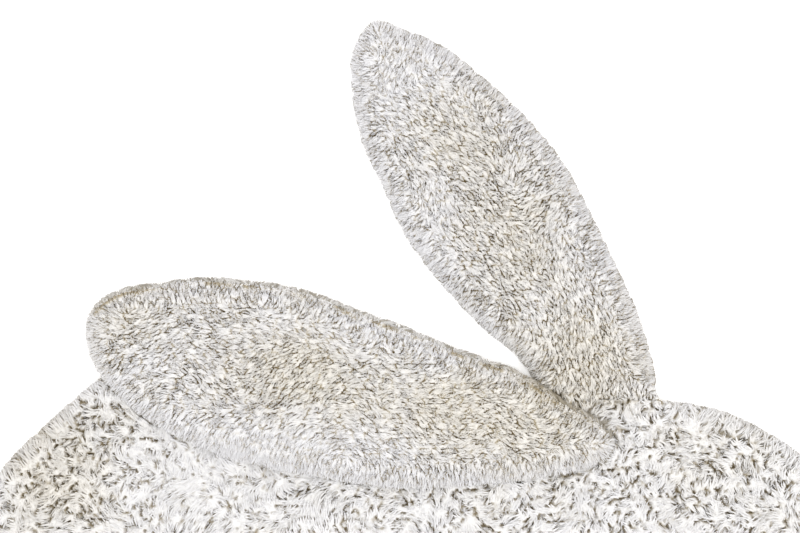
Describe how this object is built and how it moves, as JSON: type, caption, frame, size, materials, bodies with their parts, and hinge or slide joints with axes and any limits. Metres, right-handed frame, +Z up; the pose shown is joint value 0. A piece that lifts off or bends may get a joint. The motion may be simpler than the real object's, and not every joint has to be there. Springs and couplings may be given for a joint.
{
  "type": "shaped shag rug",
  "caption": "Flat shag floor rug shaped like a crouching rabbit in profile, with one ear standing up from the head and the other lying back over the body.",
  "frame": {"origin": "middle of the rug's bounding box, on the floor", "axes": "+X the way the rabbit faces, along the rug's longest side; +Y from its feet to its ears; +Z up from the floor, through the thickness"},
  "size_m": [1.0986, 0.9319, 0.0362],
  "materials": {
    "body_pile": "off-white shag pile",
    "ear_pile": "slightly warmer off-white shag pile"
  },
  "bodies": {
    "root": {"body": "body_pile", "ear_standing": "ear_pile", "ear_lying": "ear_pile"}
  },
  "joints": []
}
